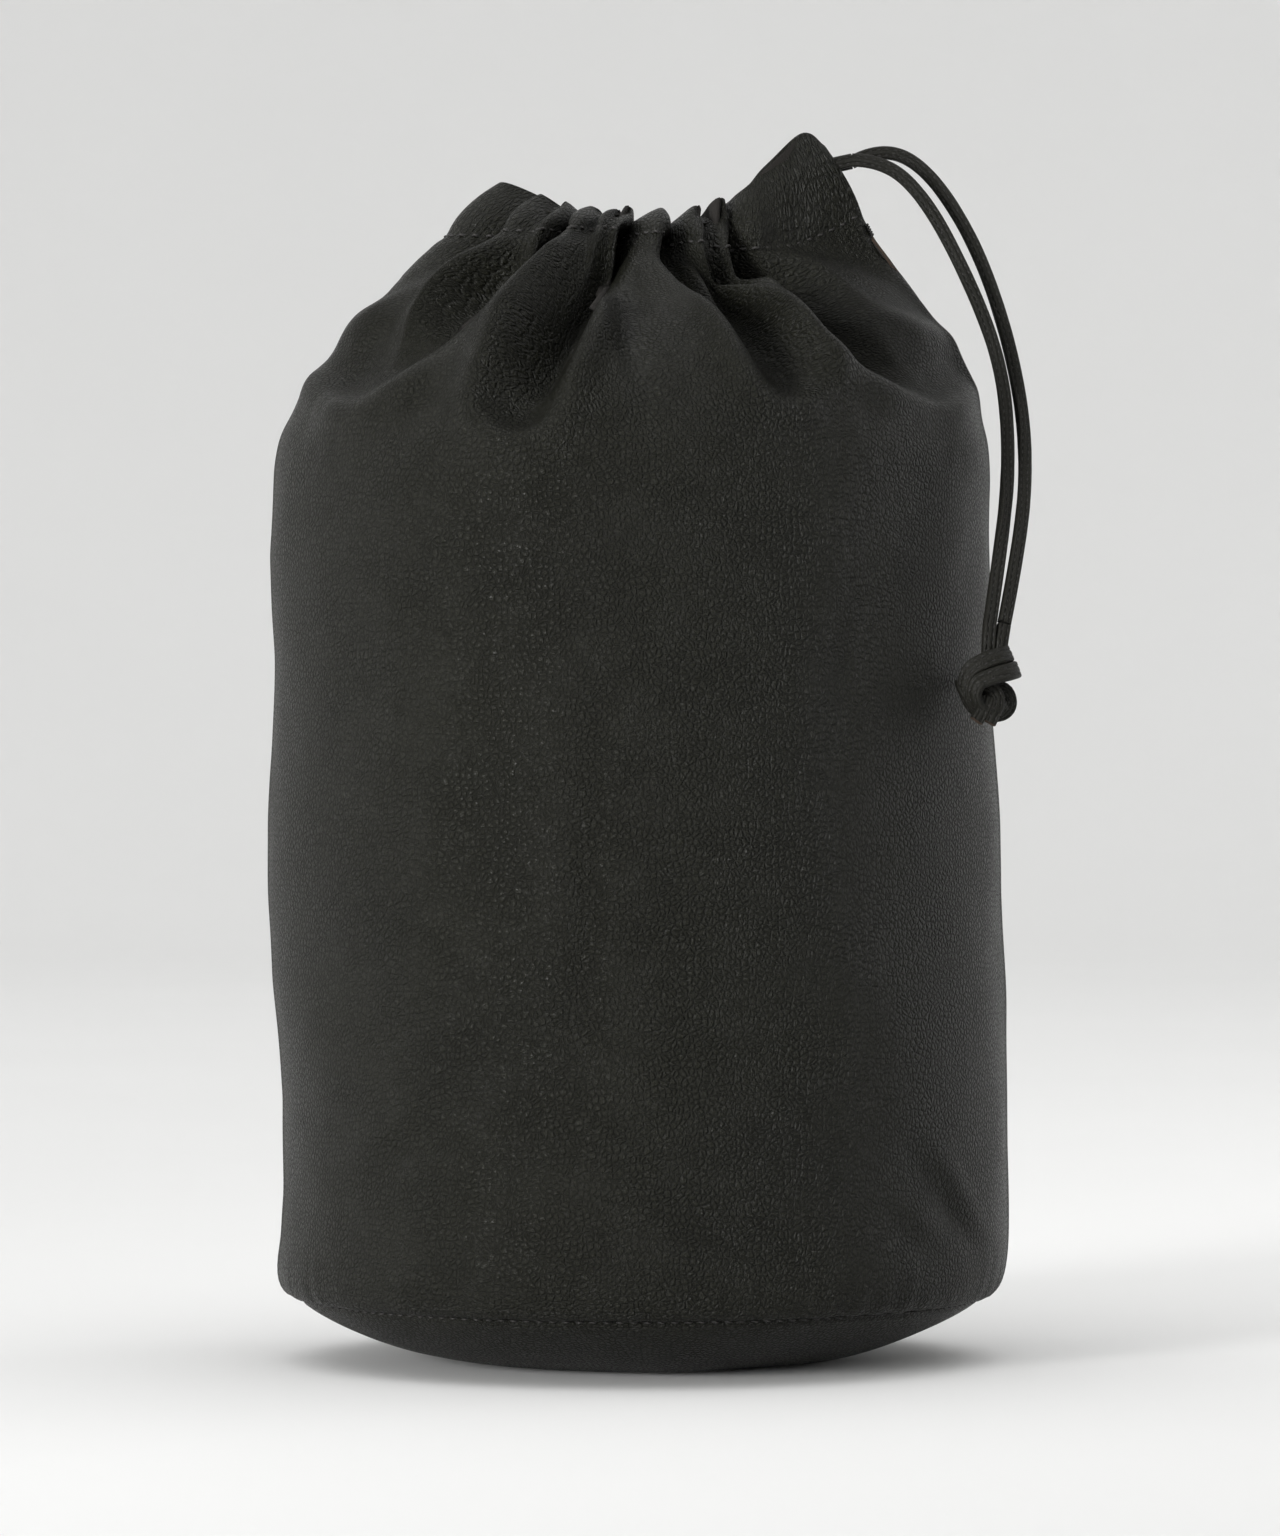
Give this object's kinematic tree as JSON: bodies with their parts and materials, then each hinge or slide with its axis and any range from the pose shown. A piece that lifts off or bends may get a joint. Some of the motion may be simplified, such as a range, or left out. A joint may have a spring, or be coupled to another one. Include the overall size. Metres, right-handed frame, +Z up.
{
  "type": "leather drawstring pouch",
  "caption": "Tall round-based leather pouch with a gathered mouth, closed by a lace drawn through a casing and out of one side slit, its two ends tied in a knot.",
  "frame": {"origin": "centre of the base, on the plane that the pouch stands on", "axes": "+Z up through the mouth, +X towards the side seam with the lace slit, -Y to the front"},
  "size_m": [0.1606, 0.1546, 0.263],
  "materials": {
    "body_leather": "soft full-grain leather with a fine pebbled grain, very dark warm charcoal, semi-matt",
    "facing_leather": "flesh side of the same leather, matt, with brownish cut edges",
    "lace_leather": "narrow folded and edge-stitched leather lace, slightly glossier than the body",
    "thread": "black twisted sewing thread"
  },
  "bodies": {
    "pouch": {"front_panel": "body_leather", "back_panel": "body_leather", "base_panel": "body_leather", "front_facing": "facing_leather", "back_facing": "facing_leather", "lace_loop": "lace_leather", "right_seam_thread": "thread", "left_seam_thread": "thread", "base_seam_thread": "thread", "front_casing_thread": "thread", "back_casing_thread": "thread", "slit_tack_thread": "thread"},
    "lace_leads": {"lace_lead_front": "lace_leather", "lace_lead_back": "lace_leather"},
    "lace_ends": {"lace_strand_front": "lace_leather", "lace_strand_back": "lace_leather"},
    "knot": {"lace_knot": "lace_leather", "lace_tip_front": "lace_leather", "lace_tip_back": "lace_leather"}
  },
  "joints": [
    {"name": "lace_pull", "type": "slide", "parent": "pouch", "child": "lace_leads", "axis": [0.9781, 0, 0.2079], "range_m": [0, 0.012]},
    {"name": "ends_lift", "type": "hinge", "parent": "lace_leads", "child": "lace_ends", "pos_m": [0.0455, 0, 0.257], "axis": [0, -1, 0], "range_deg": [0, 75]},
    {"name": "knot_swing", "type": "hinge", "parent": "lace_ends", "child": "knot", "pos_m": [0.0746, -0.0376, 0.1536], "axis": [0.893, -0.45, 0], "range_deg": [-25, 25]}
  ]
}
